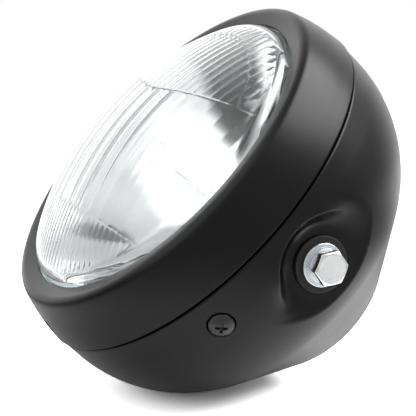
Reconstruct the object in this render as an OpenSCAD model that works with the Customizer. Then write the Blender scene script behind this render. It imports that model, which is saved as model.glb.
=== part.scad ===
// Round side-mounted motorcycle headlamp: pressed steel bucket and trim ring,
// domed fluted glass, dished reflector and a three-blade halogen bulb.
// Frame: +Y runs rearwards along the optical axis (the glass faces -Y), +Z is up
// on the motorcycle, and +X / -X are the two side bolts. The origin is the point
// where the side bolts' common axis crosses the optical axis.

/* [Bucket] */
// Radius of the short straight stretch behind the trim ring
rim_r = 87.0; // [86.6:0.1:87.4]
// Radius of the belly's curve, in section
belly_r = 62; // [60:0.5:64]
// Distance of the belly's widest place behind the seam
belly_y = 11; // [9:0.5:13]
// Thickness of the pressed bucket skin
skin = 1.2; // [1.0:0.1:1.4]
// Distance of the side-bolt axis behind the seam
pivot_back = 30.5; // [28:0.5:33]
// Slope at which the belly runs into the straight rear cone, from the radial direction
cone_from = 48.5; // [47:0.5:50]
// Distance of the flat rear face behind the seam
rear_y = 90.5; // [88:0.5:93]
// Rounding between the rear cone and the flat rear face
rear_round = 20; // [16:1:22]

/* [Side seats] */
// Distance of each flat side seat from the centre plane
seat_x = 75.5; // [75:0.5:76]
// Radius of the flat seat's floor, up to the foot of the sunk wall
floor_r = 18.5; // [18:0.5:19]
// Radius of the sunk wall's mouth on the skin
mouth_r = 23.5; // [22.5:0.5:24.5]

/* [Trim ring] */
// Radius of the ring's rear edge
ring_r = 87.6; // [87.4:0.1:87.8]
// Radius of the opening that the glass stands in
lip_r = 71.8; // [71.6:0.1:72.2]
// Thickness of the ring's sheet
sheet = 1.1; // [1.0:0.1:1.2]
// Rounding between the ring's front face and its flank
ring_round = 4.6; // [4:0.2:5]

/* [Glass] */
// Radius of the glass dome's outer face
dome_r = 132; // [126:1:138]
// Distance of the dome's top in front of the seam
dome_y = 46.2; // [45.6:0.2:46.8]
// Rounding between the dome and the glass's side wall
shoulder_r = 8.5; // [8:0.1:9]
// Thickness of the glass
glass_t = 3.4; // [3:0.1:3.8]

/* [Reflector] */
// Focal length of the dish
focal = 25; // [24:0.5:26]
// Radius of the dish's rear neck
neck_r = 19.5; // [19:0.5:20]

/* [Fasteners] */
// Radius of the side bolts' shank
bolt_r = 4.0; // [3.95:0.05:4.0]
// Width of the side bolts' hexagon across its flats
hex_af = 13; // [12.8:0.1:13.2]
// Turn of the side bolts' hexagon about their axis
hex_turn = 20; // [0:1:60]
// Outer radius of the flat washers
washer_r = 8.9; // [8.5:0.1:9.2]
// Angle of each ring screw from the bottom of the lamp
screw_angle = 59.3; // [55:0.1:63]
// Distance of the ring screws behind the seam
screw_y = 14.3; // [13:0.1:15.5]

/* [Wire entry] */
// Radius of the hole through the rear grommet
entry_r = 7.0; // [6:0.5:8]

/* [Hidden] */
q = 96;

// ---------- helpers ----------
// Revolves a profile of [radius, distance behind the seam] about the optical axis.
module turn() translate([0, -pivot_back, 0]) rotate([-90, 0, 0]) rotate_extrude($fn = q) children();
// Puts a shape drawn along +Z on the right and the left side bolt.
module both_sides() for (s = [0, 1]) mirror([s, 0, 0]) rotate([0, 90, 0]) children();
// Puts a shape drawn along +Z, outwards, on the two ring screws.
module both_screws() for (s = [-1, 1]) translate([0, screw_y - pivot_back, 0])
    rotate([0, 180 - s * screw_angle, 0]) children();
module ring(ro, ri, h) difference() {
    cylinder(r = ro, h = h, $fn = 64);
    translate([0, 0, -1]) cylinder(r = ri, h = h + 2, $fn = 64);
}
function unit(v) = v / norm(v);
// Parallel shift of an open line by d, to the right of its direction, with mitred corners.
function shifted(p, d) = [for (i = [0:len(p) - 1])
    let (a = i == 0 ? unit(p[1] - p[0]) : unit(p[i] - p[i - 1]),
         b = i == len(p) - 1 ? a : unit(p[i + 1] - p[i]),
         na = [a[1], -a[0]], nb = [b[1], -b[0]])
    p[i] + d * (na + nb) / (1 + na * nb)];
// Points of a corner at p rounded with radius r between the points a and b.
function corner(a, p, b, r, n = 8) =
    let (u = unit(a - p), v = unit(b - p), half = acos(u * v) / 2,
         t = r / tan(half), c = p + unit(u + v) * r / sin(half),
         s0 = p + u * t - c, s1 = p + v * t - c,
         a0 = atan2(s0[1], s0[0]), d = atan2(s1[1], s1[0]) - a0,
         sw = d > 180 ? d - 360 : d < -180 ? d + 360 : d)
    [for (i = [0:n]) c + r * [cos(a0 + sw * i / n), sin(a0 + sw * i / n)]];
function rev(p) = [for (i = [len(p) - 1:-1:0]) p[i]];

// ---------- bucket ----------
// Centre of the belly's curve in the half section, where the belly meets the rear
// cone, and where the cone meets the rear face.
belly_c = [rim_r - belly_r, belly_y];
nb = [cos(cone_from), sin(cone_from)];
function tip(t) = belly_c + (belly_r - t) * nb;
knee = [(tip(0) * nb - rear_y * nb[1]) / nb[0], rear_y];
knee_c = knee - rear_round * (nb + [0, 1]) / (1 + nb[1]);

// Half section of the bucket's skin, drawn inwards by t.
module skin_profile(t, front) polygon(concat(
    [[0, front], [rim_r - t, front]],
    [for (i = [0:14]) let (f = cone_from * i / 14) belly_c + (belly_r - t) * [cos(f), sin(f)]],
    [for (i = [0:12]) let (f = cone_from + (90 - cone_from) * i / 12)
        knee_c + (rear_round - t) * [cos(f), sin(f)]],
    [[0, rear_y - t]]));
module seat_cone(x, r, grow) both_sides() translate([0, 0, x])
    cylinder(r1 = r, r2 = r + (96 - x) * grow, h = 96 - x, $fn = 72);
module bucket() color([0.1, 0.1, 0.11]) difference() {
    union() {
        difference() {
            turn() skin_profile(0, 0.6);
            seat_cone(seat_x, floor_r, (mouth_r - floor_r) / 12);
            // inside
            difference() {
                turn() skin_profile(skin, 1.8);
                seat_cone(seat_x - skin, floor_r + 1.1, (mouth_r - floor_r) / 12);
                both_screws() translate([0, 0, 84.8 - skin]) cylinder(r = 7.4, h = 10, $fn = 48);
            }
            // the front of the bucket is open inside its step
            turn() square([rim_r - 3.3, 2.6]);
            // dishes and holes of the ring screws
            both_screws() translate([0, 0, 84.8]) cylinder(r = 6.0, h = 6, $fn = 48);
            both_screws() translate([0, 0, 76]) cylinder(r = 2.8, h = 12, $fn = 32);
        }
        // stepped neck that the trim ring slides over
        turn() translate([rim_r - 3.3, -5]) square([1.2, 6.8]);
    }
    both_sides() translate([0, 0, 66]) cylinder(r = bolt_r + 0.3, h = 20, $fn = 48);
    turn() translate([0, rear_y - 3]) square([11, 6]);
}

// ---------- trim ring ----------
// Inner edge and slope of the ring's front face, its front corner, the crest of its
// bulging flank and its rear edge.
face_a = [lip_r + 0.4, -22.6];
face_s = -0.2;
ring_k = [ring_r - 5.7, face_a[1] + face_s * (ring_r - 5.7 - face_a[0])];
flank_m = [ring_r - 2.1, -12.5];
flank_b = [ring_r, -0.4];
function ring_line(t) =
    let (p = shifted([[lip_r, -21.4], face_a, ring_k, flank_m, flank_b], -t))
    concat([p[0]], t == 0 ? corner(p[0], p[1], p[2], 0.3, 3) : [p[1]],
        corner(p[1], p[2], p[3], ring_round - t, 10),
        corner(p[2], p[3], p[4], 80 - t, 4), [p[4]]);
module trim_ring() color([0.12, 0.12, 0.13]) difference() {
    turn() polygon(concat(ring_line(0), rev(ring_line(sheet))));
    // drain slot at the bottom of the flank
    for (y = [-10.6, -7.6]) translate([0, y - pivot_back, -80]) rotate([180, 0, 0])
        cylinder(r = 2.2, h = 12, $fn = 32);
    translate([-2.2, -10.6 - pivot_back, -92]) cube([4.4, 3, 12]);
}

// ---------- glass, gasket, seal, reflector ----------
// Centre of the dome, of the shoulder's curve, and the direction of the seam between them.
dome_c = [0, dome_r - dome_y];
side_r = lip_r - 0.3;
shoulder_c = [side_r - shoulder_r,
              dome_c[1] - sqrt(pow(dome_r - shoulder_r, 2) - pow(side_r - shoulder_r, 2))];
jn = unit(shoulder_c - dome_c);
module dome_shape(t) {
    j = dome_c + (dome_r - t) * jn;
    back = t == 0 ? -16.9 : -10;
    intersection() {
        translate(dome_c) circle(r = dome_r - t, $fn = 160);
        translate([0, -60]) square([j[0], j[1] + 60]);
    }
    intersection() {
        translate(shoulder_c) circle(r = shoulder_r - t, $fn = q);
        translate(shoulder_c - [4, 20]) square([24, 20]);
    }
    polygon([[0, j[1]], j, shoulder_c, shoulder_c + [shoulder_r - t, 0], [side_r - t, back], [0, back]]);
}
module lens() color([0.85, 0.9, 0.92, 0.4]) turn() difference() {
    union() {
        dome_shape(0);
        translate([0, -20.9]) square([75.2, 4]);
    }
    dome_shape(glass_t);
}
module lens_gasket() color([0.06, 0.06, 0.06]) turn() polygon([
    [lip_r + 1.4, face_a[1] + 1.17 + face_s * (lip_r + 1.4 - face_a[0])],
    [76.6, face_a[1] + 1.17 + face_s * (76.6 - face_a[0])],
    [76.6, -15.4], [75.3, -15.4], [75.3, -21.0], [lip_r + 1.4, -21.0]]);
module lens_seal() color([0.3, 0.3, 0.3]) turn() translate([70.2, -16.85]) square([3.6, 0.8]);

dish_y = -16 + pow(69.5, 2) / (4 * focal);
function dish(r) = dish_y - r * r / (4 * focal);
module reflector() color([0.86, 0.87, 0.88]) turn() polygon(concat(
    [[75.2, -16.0], [69.5, -16.0]],
    [for (i = [1:20]) let (r = 69.5 - i * (69.5 - neck_r) / 20) [r, dish(r)]],
    [[neck_r, 34.0], [24, 34.0], [24, 33.2], [neck_r + 0.8, 33.2], [neck_r + 0.8, dish(neck_r) + 1.4]],
    [for (i = [19:-1:1]) let (r = 69.5 - i * (69.5 - neck_r) / 20) [r + 0.5, dish(r) + 0.8]],
    [[70.2, -15.2], [75.2, -15.2]]));

// W-shaped spring clips that hold the glass and reflector in the trim ring.
module unit_clips() color([0.75, 0.76, 0.78])
    for (i = [0:5]) rotate([0, i * 60 + 30, 0]) translate([0, -pivot_back, 0])
        rotate([90, 0, 90]) translate([0, 0, -4]) linear_extrude(height = 8)
            polygon([[-15.1, 71.0], [-15.1, 76.4], [-13.2, 79.2], [-15.2, 82.4], [-12.4, 83.5],
                     [-12.2, 82.8], [-14.1, 81.9], [-12.4, 79.2], [-14.5, 76.1], [-14.5, 71.0]]);

// ---------- bulb ----------
ref_y = 34.7;
module bulb_seat_ring() color([0.7, 0.7, 0.72]) turn() translate([19.8, 34.05]) square([4.2, 0.6]);
module bulb_flange() color([0.78, 0.78, 0.8]) {
    difference() {
        union() {
            turn() translate([11.4, ref_y]) square([8.2, 1.2]);
            for (a = [0, 120, 240]) rotate([0, a, 0]) translate([-4, ref_y - pivot_back, 17]) cube([8, 1.2, 5.6]);
        }
        turn() translate([0, ref_y - 1]) square([11.4, 3.2]);
    }
}
module bulb_cap() color([0.72, 0.72, 0.74]) turn() difference() {
    polygon([[8.55, 22], [11.0, 22], [11.0, ref_y - 0.1], [11.35, ref_y - 0.1], [11.35, ref_y + 1.3],
             [13.0, ref_y + 2.4], [13.0, 43.0], [8.55, 43.0]]);
    translate([0, 20]) square([8.55, 1]);
}
module bulb_glass() color([0.85, 0.88, 0.9, 0.4]) turn() difference() {
    union() {
        translate([0, -15]) square([8.5, 44]);
        intersection() {
            translate([0, -15]) circle(r = 8.5, $fn = 48);
            translate([0, -30]) square([9, 16]);
        }
    }
    union() {
        translate([0, -15]) square([7.3, 40]);
        translate([0, -15]) circle(r = 7.3, $fn = 48);
        translate([-20, -40]) square([20, 80]);
    }
}
module bulb_filaments() color([0.6, 0.6, 0.6]) translate([0, -pivot_back, 0]) {
    // support posts from the glass foot
    for (x = [-3.4, 3.4]) translate([x, -8, 0]) rotate([-90, 0, 0]) cylinder(r = 0.5, h = 32.9, $fn = 16);
    translate([0, 6, 3.8]) rotate([-90, 0, 0]) cylinder(r = 0.5, h = 18.9, $fn = 16);
    // the two filaments and the dipping shield
    translate([-3.4, 6, 0]) rotate([0, 90, 0]) cylinder(r = 0.7, h = 6.8, $fn = 16);
    translate([-3.4, -6, 0]) rotate([0, 90, 0]) cylinder(r = 0.7, h = 6.8, $fn = 16);
    difference() {
        translate([0, -9, 0]) rotate([-90, 0, 0]) cylinder(r = 4.6, h = 9, $fn = 32);
        translate([0, -8.4, 0]) rotate([-90, 0, 0]) cylinder(r = 4.1, h = 12, $fn = 32);
        translate([-6, -10, -1.5]) cube([12, 12, 8]);
    }
    // pinched foot
    translate([-5, 24.0, -1.6]) cube([10, 0.9, 6.0]);
}
module bulb_insulator() color([0.2, 0.2, 0.2]) turn() translate([0, 43.0]) square([12.0, 4.2]);
module bulb_terminals() color([0.8, 0.75, 0.6]) translate([0, 47.2 - pivot_back, 0]) {
    translate([-4, 0, 7.2]) cube([8, 10.5, 0.8]);
    for (x = [-8.0, 7.2]) translate([x, 0, -5.4]) cube([0.8, 10.5, 8]);
}
// Bail that presses the bulb's flange against its seat.
module bulb_clip() color([0.8, 0.8, 0.82]) translate([0, ref_y + 1.85 - pivot_back, 0]) {
    for (s = [-1, 1]) {
        translate([s * 14.4, 0, -20]) cylinder(r = 0.6, h = 40, $fn = 20);
        translate([s * 14.4, 0, 20]) sphere(r = 0.6, $fn = 20);
        translate([s * 14.4, 0, -20]) sphere(r = 0.6, $fn = 20);
    }
    translate([-14.4, 0, 20]) rotate([0, 90, 0]) cylinder(r = 0.6, h = 28.8, $fn = 20);
    for (s = [-1, 1]) translate([s * 14.4, 0, -20]) rotate([0, s * -90, 0]) cylinder(r = 0.6, h = 9, $fn = 20);
}
module bulb_clip_screw() color([0.8, 0.8, 0.82]) translate([0, 34.7 - pivot_back, -22.1]) rotate([-90, 0, 0]) {
    cylinder(r = 1.4, h = 0.6, $fn = 24);
    translate([0, 0, 0.6]) cylinder(r = 2.4, h = 1.4, $fn = 24);
}
module bulb_boot() color([0.07, 0.07, 0.07]) turn() polygon([
    [24.2, 33.0], [28.4, 33.0], [28.4, 39.0], [26.0, 40.2], [22.6, 39.6], [21.0, 41.8],
    [18.0, 41.2], [16.6, 44.8], [13.1, 44.8], [13.1, 42.2], [15.2, 42.2], [16.4, 38.9],
    [20.0, 39.4], [21.4, 37.4], [27.1, 37.6], [27.1, 34.75], [24.2, 34.75]]);

// ---------- trim ring's tabs, hook, nuts and screws ----------
// Line just inside the ring's flank.
function under(y, gap) =
    let (far = y < flank_m[1] ? ring_k : flank_b, s = (far[0] - flank_m[0]) / (far[1] - flank_m[1]))
    flank_m[0] + s * (y - flank_m[1]) - sheet * sqrt(1 + s * s) - gap;
module strip(w, a) intersection() {
    turn() children();
    rotate([0, a, 0]) translate([-w / 2, -70, 60]) cube([w, 140, 40]);
}
module ring_tabs() color([0.12, 0.12, 0.13]) difference() {
    for (s = [-1, 1]) strip(16, 180 - s * screw_angle) polygon([
        [under(-15, 0.05), -15], [under(-7, 0.02), -7], [83.3, -6], [83.3, 21], [82.1, 21],
        [82.1, -7], [under(-15, 1.2), -15]]);
    both_screws() translate([0, 0, 76]) cylinder(r = 2.8, h = 12, $fn = 32);
}
module top_hook() color([0.12, 0.12, 0.13]) strip(14, 0) polygon([
    [under(-15, 0.05), -15], [under(-7, 0.02), -7], [83.3, -6], [83.3, 2.2], [85.2, 2.2],
    [85.2, 3.4], [82.1, 3.4], [82.1, -7], [under(-15, 1.2), -15]]);
module tab_nuts() color([0.75, 0.76, 0.78]) both_screws() translate([0, 0, 77.9]) difference() {
    cylinder(r = 8 / sqrt(3), h = 4.05, $fn = 6);
    translate([0, 0, -1]) cylinder(r = 2.5, h = 6, $fn = 32);
}
module ring_screws() color([0.09, 0.09, 0.1]) both_screws() difference() {
    union() {
        translate([0, 0, 84.8]) cylinder(r = 5.4, h = 1.4, $fn = 48);
        translate([0, 0, 86.2]) intersection() {
            cylinder(r = 5.4, h = 4, $fn = 48);
            translate([0, 0, -4.5]) sphere(r = sqrt(5.4 * 5.4 + 4.5 * 4.5), $fn = 64);
        }
        translate([0, 0, 74.5]) cylinder(r = 2.45, h = 10.4, $fn = 32);
    }
    // cross recess
    for (a = [0, 90]) rotate([0, 0, a]) translate([-2.5, -0.5, 87.0]) cube([5.0, 1.0, 4]);
}

// ---------- side hardware ----------
module side_bolts() color([0.82, 0.84, 0.86]) both_sides() {
    translate([0, 0, seat_x + 5.1]) intersection() {
        rotate([0, 0, hex_turn]) cylinder(r = hex_af / sqrt(3), h = 5.4, $fn = 6);
        cylinder(r1 = hex_af / 2 + 6.6, r2 = hex_af / 2 - 0.15, h = 5.4, $fn = 64);
    }
    translate([0, 0, 63.5]) cylinder(r = bolt_r, h = seat_x + 5.2 - 63.5, $fn = 48);
    translate([0, 0, 62.5]) cylinder(r1 = bolt_r - 1, r2 = bolt_r, h = 1, $fn = 48);
}
module spring_washers() color([0.75, 0.77, 0.8]) both_sides() translate([0, 0, seat_x + 3.1]) difference() {
    ring(7.2, bolt_r + 0.1, 2.0);
    rotate([0, 0, 200]) translate([2, -0.6, -1]) cube([8, 1.2, 4]);
}
module flat_washers() color([0.8, 0.82, 0.84]) both_sides() translate([0, 0, seat_x + 1.5]) ring(washer_r, bolt_r + 0.2, 1.6);
module side_spacers() color([0.08, 0.08, 0.09]) both_sides() translate([0, 0, seat_x]) ring(11.7, bolt_r + 0.3, 1.5);
module weld_nuts() color([0.5, 0.5, 0.52]) both_sides() translate([0, 0, seat_x - skin - 6.5]) difference() {
    union() {
        cylinder(r = 13 / sqrt(3), h = 6.5, $fn = 6);
        translate([0, 0, 5.3]) cylinder(r = 9.5, h = 1.2, $fn = 48);
    }
    translate([0, 0, -1]) cylinder(r = bolt_r + 0.02, h = 9, $fn = 48);
}

// ---------- rear grommet ----------
module wire_grommet() color([0.05, 0.05, 0.05]) turn() polygon([
    [entry_r, rear_y - 3.6], [13.2, rear_y - 3.6], [14.0, rear_y - 1.25], [10.95, rear_y - 1.25],
    [10.95, rear_y + 0.05], [14.0, rear_y + 0.05], [12.6, rear_y + 2.4], [10.2, rear_y + 3.4], [entry_r, rear_y + 3.4]]);

bucket();
trim_ring();
lens();
lens_gasket();
lens_seal();
reflector();
unit_clips();
bulb_seat_ring();
bulb_flange();
bulb_cap();
bulb_glass();
bulb_filaments();
bulb_insulator();
bulb_terminals();
bulb_clip();
bulb_clip_screw();
bulb_boot();
ring_tabs();
top_hook();
tab_nuts();
ring_screws();
side_bolts();
spring_washers();
flat_washers();
side_spacers();
weld_nuts();
wire_grommet();
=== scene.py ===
"""Looks of the round motorcycle headlight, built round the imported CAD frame."""
import bpy
import bmesh
import math
import numpy as np
from mathutils import Matrix, Vector


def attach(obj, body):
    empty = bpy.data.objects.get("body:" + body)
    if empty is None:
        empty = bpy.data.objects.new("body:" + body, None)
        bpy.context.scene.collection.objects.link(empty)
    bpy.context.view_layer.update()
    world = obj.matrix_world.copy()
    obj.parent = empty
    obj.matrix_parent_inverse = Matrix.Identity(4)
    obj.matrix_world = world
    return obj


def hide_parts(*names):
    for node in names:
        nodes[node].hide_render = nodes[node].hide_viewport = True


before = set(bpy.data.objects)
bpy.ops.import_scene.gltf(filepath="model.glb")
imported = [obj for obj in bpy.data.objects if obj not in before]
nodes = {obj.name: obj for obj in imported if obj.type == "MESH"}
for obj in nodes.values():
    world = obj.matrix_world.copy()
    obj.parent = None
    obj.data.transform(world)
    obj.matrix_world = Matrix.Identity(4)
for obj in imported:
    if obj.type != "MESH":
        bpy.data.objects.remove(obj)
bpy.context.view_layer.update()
scene = bpy.context.scene

MM = 0.001
PIV = 30.5          # the seam plane lies this far ahead of the side bolts' axis
rng = np.random.default_rng(7)


# ------------------------------------------------------------------ node helpers
def new_mat(name):
    m = bpy.data.materials.new(name)
    m.use_nodes = True
    nt = m.node_tree
    nt.nodes.clear()
    out = nt.nodes.new("ShaderNodeOutputMaterial")
    return m, nt, out


def link(nt, a, b):
    nt.links.new(a, b)


def principled(nt, out, **vals):
    b = nt.nodes.new("ShaderNodeBsdfPrincipled")
    for k, v in vals.items():
        b.inputs[k.replace("_", " ")].default_value = v
    nt.links.new(b.outputs["BSDF"], out.inputs["Surface"])
    return b


def coords(nt):
    return nt.nodes.new("ShaderNodeTexCoord").outputs["Object"]


def noise(nt, vec, scale, detail=3.0, rough=0.5, dist=0.0):
    n = nt.nodes.new("ShaderNodeTexNoise")
    n.inputs["Scale"].default_value = scale
    n.inputs["Detail"].default_value = detail
    n.inputs["Roughness"].default_value = rough
    n.inputs["Distortion"].default_value = dist
    link(nt, vec, n.inputs["Vector"])
    return n.outputs["Fac"]


def stretch(nt, vec, sx, sy, sz):
    m = nt.nodes.new("ShaderNodeMapping")
    m.inputs["Scale"].default_value = (sx, sy, sz)
    link(nt, vec, m.inputs["Vector"])
    return m.outputs["Vector"]


def remap(nt, val, a, b, c, d, clamp=True, smooth=False):
    m = nt.nodes.new("ShaderNodeMapRange")
    m.clamp = clamp
    if smooth:
        m.interpolation_type = "SMOOTHSTEP"
    for k, v in (("From Min", a), ("From Max", b), ("To Min", c), ("To Max", d)):
        m.inputs[k].default_value = v
    link(nt, val, m.inputs["Value"])
    return m.outputs["Result"]


def math_n(nt, op, a, b=None, c=None):
    m = nt.nodes.new("ShaderNodeMath")
    m.operation = op
    for i, v in enumerate((a, b, c)):
        if v is None:
            continue
        if isinstance(v, (int, float)):
            m.inputs[i].default_value = v
        else:
            link(nt, v, m.inputs[i])
    return m.outputs[0]


def mix_col(nt, fac, a, b):
    m = nt.nodes.new("ShaderNodeMix")
    m.data_type = "RGBA"
    if isinstance(fac, (int, float)):
        m.inputs[0].default_value = fac
    else:
        link(nt, fac, m.inputs[0])
    for i, v in ((6, a), (7, b)):
        if isinstance(v, tuple):
            m.inputs[i].default_value = v if len(v) == 4 else (*v, 1)
        else:
            link(nt, v, m.inputs[i])
    return m.outputs[2]


def bump(nt, height, strength, distance, normal_in):
    b = nt.nodes.new("ShaderNodeBump")
    b.inputs["Strength"].default_value = strength
    b.inputs["Distance"].default_value = distance
    link(nt, height, b.inputs["Height"])
    link(nt, b.outputs["Normal"], normal_in)
    return b


# ------------------------------------------------------------------ materials
def paint_material():
    """Satin black powder coat: fine orange peel, slightly uneven gloss, a few light specks of dust."""
    m, nt, out = new_mat("satin_black_coat")
    b = principled(nt, out, Roughness=0.32)
    b.inputs["Specular IOR Level"].default_value = 0.22
    v = coords(nt)
    cloud = noise(nt, v, 22.0, 4.0, 0.55)
    fine = noise(nt, v, 420.0, 3.0, 0.6)
    base = mix_col(nt, remap(nt, cloud, 0.3, 0.7, 0, 1), (0.0022, 0.0022, 0.0026), (0.0032, 0.0032, 0.0036))
    # dust: small round specks, rare
    vor = nt.nodes.new("ShaderNodeTexVoronoi")
    vor.inputs["Scale"].default_value = 170.0
    link(nt, v, vor.inputs["Vector"])
    near = remap(nt, vor.outputs["Distance"], 0.05, 0.085, 1.0, 0.0)
    sep = nt.nodes.new("ShaderNodeSeparateColor")
    link(nt, vor.outputs["Color"], sep.inputs["Color"])
    rare = math_n(nt, "GREATER_THAN", sep.outputs[0], 0.965)
    speck = math_n(nt, "MULTIPLY", near, rare)
    col = mix_col(nt, math_n(nt, "MULTIPLY", speck, 0.28), base, (0.30, 0.30, 0.30))
    link(nt, col, b.inputs["Base Color"])
    r = remap(nt, cloud, 0.3, 0.7, 0.30, 0.34)
    r2 = math_n(nt, "ADD", r, remap(nt, fine, 0.3, 0.7, -0.015, 0.02))
    link(nt, r2, b.inputs["Roughness"])
    peel = noise(nt, v, 900.0, 2.0, 0.5)
    bump(nt, peel, 0.10, 0.00012, b.inputs["Normal"])
    return m


def metal_material(name, col_a, col_b, rough_a, rough_b, grain=(1, 1, 1), grain_scale=500.0, bump_s=0.08, spots=0.0, metallic=1.0):
    m, nt, out = new_mat(name)
    b = principled(nt, out, Metallic=metallic, Roughness=rough_a)
    v = coords(nt)
    cloud = noise(nt, v, 130.0, 4.0, 0.6)
    lines = noise(nt, stretch(nt, v, *grain), grain_scale, 4.0, 0.65)
    col = mix_col(nt, remap(nt, cloud, 0.3, 0.7, 0, 1), col_a, col_b)
    if spots:
        dirt = noise(nt, v, 60.0, 5.0, 0.7)
        col = mix_col(nt, math_n(nt, "MULTIPLY", remap(nt, dirt, 0.58, 0.75, 0, 1), spots), col, (0.12, 0.11, 0.10))
    link(nt, col, b.inputs["Base Color"])
    r = math_n(nt, "ADD", remap(nt, cloud, 0.3, 0.7, rough_a, rough_b), remap(nt, lines, 0.3, 0.7, -0.03, 0.05))
    link(nt, r, b.inputs["Roughness"])
    bump(nt, lines, bump_s, 0.00006, b.inputs["Normal"])
    return m


def plain_material(name, col_a, col_b, rough_a, rough_b, scale=80.0, bump_s=0.15, fine=700.0, spec=0.5):
    m, nt, out = new_mat(name)
    b = principled(nt, out, Roughness=rough_a)
    b.inputs["Specular IOR Level"].default_value = spec
    v = coords(nt)
    cloud = noise(nt, v, scale, 4.0, 0.6)
    f = noise(nt, v, fine, 3.0, 0.6)
    link(nt, mix_col(nt, remap(nt, cloud, 0.3, 0.7, 0, 1), col_a, col_b), b.inputs["Base Color"])
    link(nt, remap(nt, f, 0.3, 0.7, rough_a, rough_b), b.inputs["Roughness"])
    bump(nt, f, bump_s, 0.0001, b.inputs["Normal"])
    return m


def glass_material(name, tint=(0.985, 0.995, 1.0), ior=1.5):
    """Clear pressed glass. Rays from lamps pass straight through, so that what is behind is lit."""
    m, nt, out = new_mat(name)
    g = nt.nodes.new("ShaderNodeBsdfGlass")
    g.inputs["IOR"].default_value = ior
    g.inputs["Color"].default_value = (*tint, 1)
    v = coords(nt)
    n1 = noise(nt, v, 60.0, 3.0, 0.5)
    link(nt, remap(nt, n1, 0.35, 0.7, 0.0, 0.012), g.inputs["Roughness"])
    wav = noise(nt, v, 140.0, 2.0, 0.5)
    bump(nt, wav, 0.05, 0.0002, g.inputs["Normal"])
    clear = nt.nodes.new("ShaderNodeBsdfTransparent")
    clear.inputs["Color"].default_value = (0.93, 0.95, 0.95, 1)
    lp = nt.nodes.new("ShaderNodeLightPath")
    mx = nt.nodes.new("ShaderNodeMixShader")
    link(nt, lp.outputs["Is Shadow Ray"], mx.inputs[0])
    link(nt, g.outputs[0], mx.inputs[1])
    link(nt, clear.outputs[0], mx.inputs[2])
    last = mx.outputs[0]
    link(nt, last, out.inputs["Surface"])
    return m


def mirror_material():
    """Vacuum-metallised dish: near-perfect mirror with a faint haze and slow waviness."""
    m, nt, out = new_mat("aluminised_dish")
    b = principled(nt, out, Metallic=1.0, Roughness=0.03)
    v = coords(nt)
    cloud = noise(nt, v, 35.0, 3.0, 0.5)
    link(nt, mix_col(nt, remap(nt, cloud, 0.3, 0.7, 0, 1), (0.90, 0.915, 0.93), (0.93, 0.935, 0.94)), b.inputs["Base Color"])
    link(nt, remap(nt, cloud, 0.3, 0.7, 0.02, 0.05), b.inputs["Roughness"])
    bump(nt, noise(nt, v, 18.0, 2.0, 0.5), 0.04, 0.002, b.inputs["Normal"])
    return m


M_PAINT = paint_material()
M_GLASS = glass_material("pressed_glass", (0.985, 0.992, 0.992))
M_BULB = glass_material("bulb_envelope", (0.985, 0.99, 0.995), 1.14)
M_MIRROR = mirror_material()
M_ZINC = metal_material("bright_zinc", (0.80, 0.84, 0.87), (0.72, 0.77, 0.81), 0.16, 0.26, (1, 1, 1), 650.0, 0.10)
M_ZINC_HEAD = metal_material("bright_zinc_head", (0.88, 0.885, 0.89), (0.82, 0.83, 0.84), 0.16, 0.26, (1, 1, 1), 900.0, 0.08)
M_STEEL = metal_material("spring_steel_plain", (0.80, 0.80, 0.81), (0.72, 0.72, 0.74), 0.24, 0.36, (1, 6, 1), 300.0, 0.1)
M_BARE = metal_material("bare_steel", (0.46, 0.45, 0.44), (0.36, 0.35, 0.34), 0.36, 0.5, (1, 1, 1), 300.0, 0.2, 0.4)
M_CAPM = metal_material("bulb_base_steel", (0.84, 0.84, 0.85), (0.77, 0.77, 0.78), 0.20, 0.32, (1, 8, 1), 300.0, 0.08)
M_BRASS = metal_material("tinned_brass", (0.76, 0.70, 0.55), (0.66, 0.60, 0.46), 0.26, 0.38, (1, 1, 5), 300.0, 0.1)
M_WIRE = metal_material("tungsten_wire", (0.84, 0.84, 0.85), (0.76, 0.76, 0.78), 0.24, 0.34, (1, 1, 1), 900.0, 0.2)
M_RUBBER = plain_material("moulded_rubber", (0.018, 0.018, 0.019), (0.028, 0.028, 0.028), 0.52, 0.68, 60.0, 0.25, 500.0, 0.4)
M_BEAD = plain_material("sealing_bead", (0.74, 0.71, 0.62), (0.80, 0.78, 0.72), 0.45, 0.6, 120.0, 0.2, 500.0)
M_SILICONE = plain_material("pale_silicone", (0.42, 0.46, 0.49), (0.52, 0.54, 0.55), 0.45, 0.6, 120.0, 0.2, 500.0)
M_SPACER = plain_material("black_nylon", (0.014, 0.014, 0.015), (0.022, 0.022, 0.023), 0.38, 0.50, 90.0, 0.12, 800.0, 0.22)
M_SCREW = plain_material("blackened_screw", (0.012, 0.012, 0.013), (0.022, 0.022, 0.023), 0.26, 0.36, 200.0, 0.12, 1200.0, 0.42)
M_INSUL = plain_material("bulb_ceramic", (0.045, 0.04, 0.036), (0.07, 0.06, 0.055), 0.6, 0.72, 120.0, 0.3, 600.0)


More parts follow.
